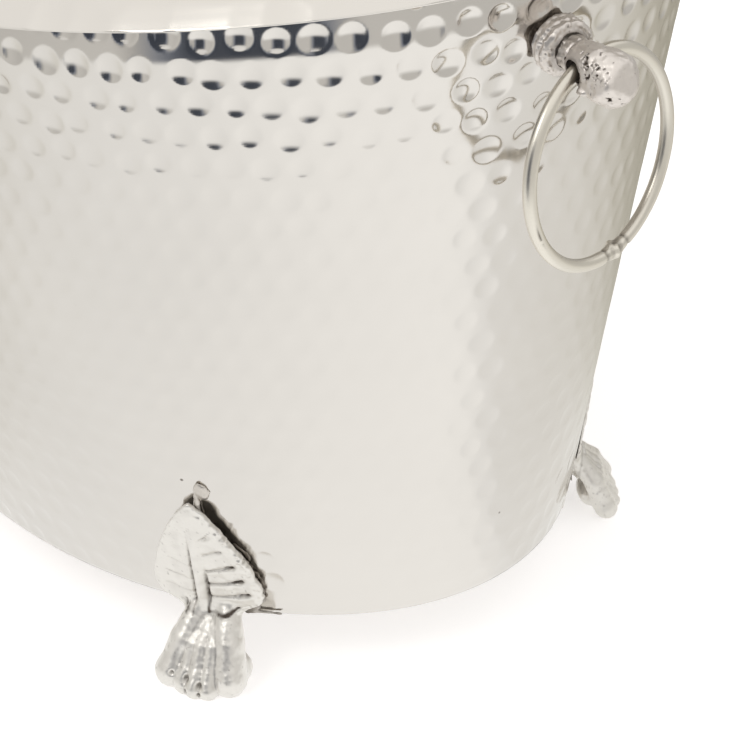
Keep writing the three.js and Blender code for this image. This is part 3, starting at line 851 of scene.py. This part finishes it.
# The floor, washers and nuts keep their CAD meshes.
for node, obj in frame["nodes"].items():
    if obj.hide_render:
        continue
    finish = fastener if node.endswith(("washer", "nut")) else plated
    obj.data.materials.clear()
    obj.data.materials.append(finish)

# ---- studio ----
FLOOR_R = 0.95


def plain(name, colour, glow):
    """A matt paper that also gives off a little light of its own."""
    mat = bpy.data.materials.new(name)
    mat.use_nodes = True
    shader = mat.node_tree.nodes["Principled BSDF"]
    shader.inputs["Base Color"].default_value = (*colour, 1)
    shader.inputs["Roughness"].default_value = 0.9
    shader.inputs["Specular IOR Level"].default_value = 0
    shader.inputs["Emission Color"].default_value = (*glow, 1)
    shader.inputs["Emission Strength"].default_value = 1
    return mat


def disc(name, radius, material):
    """A flat round sheet on the ground, as part of the stage."""
    a = np.linspace(0, 2 * math.pi, 128, endpoint=False)
    mesh = bpy.data.meshes.new(name)
    mesh.from_pydata([(radius * math.cos(x), radius * math.sin(x), 0) for x in a], [], [list(range(128))])
    obj = bpy.data.objects.new(name, mesh)
    bpy.context.scene.collection.objects.link(obj)
    mesh.materials.append(material)
    return obj


disc("floor", FLOOR_R, plain("floor_paper", (0.80, 0.79, 0.79), (0.46, 0.455, 0.455)))

world = bpy.data.worlds.new("studio")
bpy.context.scene.world = world
world.use_nodes = True
wn, wl = world.node_tree.nodes, world.node_tree.links
back = wn["Background"]
direction = wn.new("ShaderNodeTexCoord")
split = wn.new("ShaderNodeSeparateXYZ")
wl.new(direction.outputs["Generated"], split.inputs["Vector"])
sky = wn.new("ShaderNodeValToRGB")
sky.color_ramp.elements[0].position = 0.44
sky.color_ramp.elements[0].color = (0.42, 0.40, 0.36, 1)
sky.color_ramp.elements[1].position = 0.72
sky.color_ramp.elements[1].color = (0.95, 0.94, 0.925, 1)
overhead = sky.color_ramp.elements.new(1.0)
overhead.color = (1.04, 1.03, 1.01, 1)
height = wn.new("ShaderNodeMapRange")
height.inputs["From Min"].default_value = -1
height.inputs["From Max"].default_value = 1
wl.new(split.outputs["Z"], height.inputs["Value"])
wl.new(height.outputs["Result"], sky.inputs["Fac"])
wl.new(sky.outputs["Color"], back.inputs["Color"])
back.inputs["Strength"].default_value = 1.0
pale = wn.new("ShaderNodeBackground")
pale.inputs["Color"].default_value = (0.90, 0.895, 0.89, 1)
path = wn.new("ShaderNodeLightPath")
choice = wn.new("ShaderNodeMixShader")
wl.new(path.outputs["Is Camera Ray"], choice.inputs["Fac"])
wl.new(back.outputs["Background"], choice.inputs[1])
wl.new(pale.outputs["Background"], choice.inputs[2])
wl.new(choice.outputs["Shader"], wn["World Output"].inputs["Surface"])


# What the metal mirrors: tones in linear light by azimuth in degrees, on the floor and on the panels round it.
FLOOR_TONES = [
    (-180, 0.80), (-135, 0.80), (-110, 0.88), (-90, 0.97), (-60, 1.02), (-25, 1.12), (-2, 1.15), (5, 1.12),
    (13, 0.97), (42, 0.88), (60, 0.74), (80, 0.54), (100, 0.42), (150, 0.38), (180, 0.80),
]
PANEL_TONES = [
    (-180, 0.60), (-110, 0.62), (-72, 0.72), (-58, 0.07), (-35, 0.06), (-24, 0.68), (50, 0.64), (90, 0.48),
    (180, 0.64),
]
PANEL_R = 0.62
PANEL_FADE = 0.10
PANEL_TOP = 0.42


def tone(table, azimuth):
    """The tone at an azimuth, from a table of azimuths and tones."""
    return float(np.interp(azimuth, [a for a, _ in table], [v for _, v in table]))


def tint(value, panel):
    """Bright tones are white. The floor's darker ones are warm, and the panels' blue-black."""
    if not panel:
        return value, value * (0.90 + 0.10 * min(value, 1)), value * (0.62 + 0.37 * min(value, 1)), 1
    dark = 1 - min(value / 0.5, 1)
    return value * (1 - 0.15 * dark), value * (0.985 + 0.03 * dark), value * (0.95 + 0.45 * dark), 1


def mirror_room():
    """A floor and standing panels that only reflections see: soft white, with one dark stretch."""
    rings = [(0.12, 0.0005, False), (0.35, 0.0005, False), (PANEL_R, 0.0005, False)]
    rings += [(PANEL_R, PANEL_FADE, True), (PANEL_R, PANEL_TOP, True)]
    columns = 360
    verts, faces, colours = [], [], []
    for i in range(columns):
        azimuth = -180 + 360 * i / columns
        a = math.radians(azimuth)
        for radius, z, panel in rings:
            verts.append((radius * math.cos(a), radius * math.sin(a), z))
            colours.append(tint(tone(PANEL_TONES if panel else FLOOR_TONES, azimuth), panel))
        for j in range(len(rings) - 1):
            k, k2 = i * len(rings) + j, ((i + 1) % columns) * len(rings) + j
            faces.append((k, k2, k2 + 1, k + 1))
    mesh = bpy.data.meshes.new("mirror_room")
    mesh.from_pydata(verts, [], faces)
    attribute = mesh.color_attributes.new("tone", "FLOAT_COLOR", "POINT")
    attribute.data.foreach_set("color", np.array(colours, np.float32).ravel())
    mat = bpy.data.materials.new("mirror_room")
    mat.use_nodes = True
    nodes, links = mat.node_tree.nodes, mat.node_tree.links
    nodes.remove(nodes["Principled BSDF"])
    glow = nodes.new("ShaderNodeEmission")
    read = nodes.new("ShaderNodeVertexColor")
    read.layer_name = "tone"
    links.new(read.outputs["Color"], glow.inputs["Color"])
    links.new(glow.outputs["Emission"], nodes["Material Output"].inputs["Surface"])
    obj = bpy.data.objects.new("mirror_room", mesh)
    bpy.context.scene.collection.objects.link(obj)
    mesh.materials.append(mat)
    obj.visible_camera = False
    obj.visible_shadow = False
    obj.visible_diffuse = False


mirror_room()


def area_light(name, place, target, size, power, colour, mirrored):
    """A round light aimed at a target. Only a mirrored one shows in the metal."""
    data = bpy.data.lights.new(name, "AREA")
    data.shape = "DISK"
    data.size = size
    data.energy = power
    data.color = colour
    obj = bpy.data.objects.new(name, data)
    obj.location = place
    obj.visible_glossy = mirrored
    obj.rotation_euler = (Vector(target) - Vector(place)).to_track_quat("-Z", "Y").to_euler()
    bpy.context.scene.collection.objects.link(obj)


area_light("key", (-0.8, -1.25, 2.0), (0, 0, 0.1), 1.4, 5.0, (1, 0.99, 0.97), False)
area_light("card", (0.25, -0.95, 1.05), (0.12, -0.05, 0.1), 0.42, 1.5, (1, 1, 0.98), True)

# ---- camera, at the photograph's viewing angle ----
AZIMUTH = math.radians(-31.306)
ELEVATION = math.radians(29.605)
ROLL = math.radians(-3.920)
DISTANCE = 1.00611
SIDEWAYS = 0.0629648
RAISED = 0.0078312
SENSOR_MM = 36
LENS_MM = 115.2
level = math.cos(ELEVATION)
back_axis = Vector((level * math.cos(AZIMUTH), level * math.sin(AZIMUTH), math.sin(ELEVATION)))
right0 = Vector((0, 0, 1)).cross(back_axis).normalized()
up0 = back_axis.cross(right0)
right = right0 * math.cos(ROLL) + up0 * math.sin(ROLL)
up = up0 * math.cos(ROLL) - right0 * math.sin(ROLL)
camera_data = bpy.data.cameras.new("camera")
camera_data.sensor_width = SENSOR_MM
camera_data.lens = LENS_MM
camera = bpy.data.objects.new("camera", camera_data)
place = back_axis * DISTANCE + right * SIDEWAYS + up * RAISED + Vector((0, 0, BODY_Z * MM))
rotation = [[right[i], up[i], back_axis[i], place[i]] for i in range(3)] + [[0, 0, 0, 1]]
camera.matrix_world = Matrix(rotation)
bpy.context.scene.collection.objects.link(camera)
bpy.context.scene.camera = camera

view = bpy.context.scene.view_settings
view.view_transform = "Standard"
view.look = "None"

bpy.context.view_layer.update()
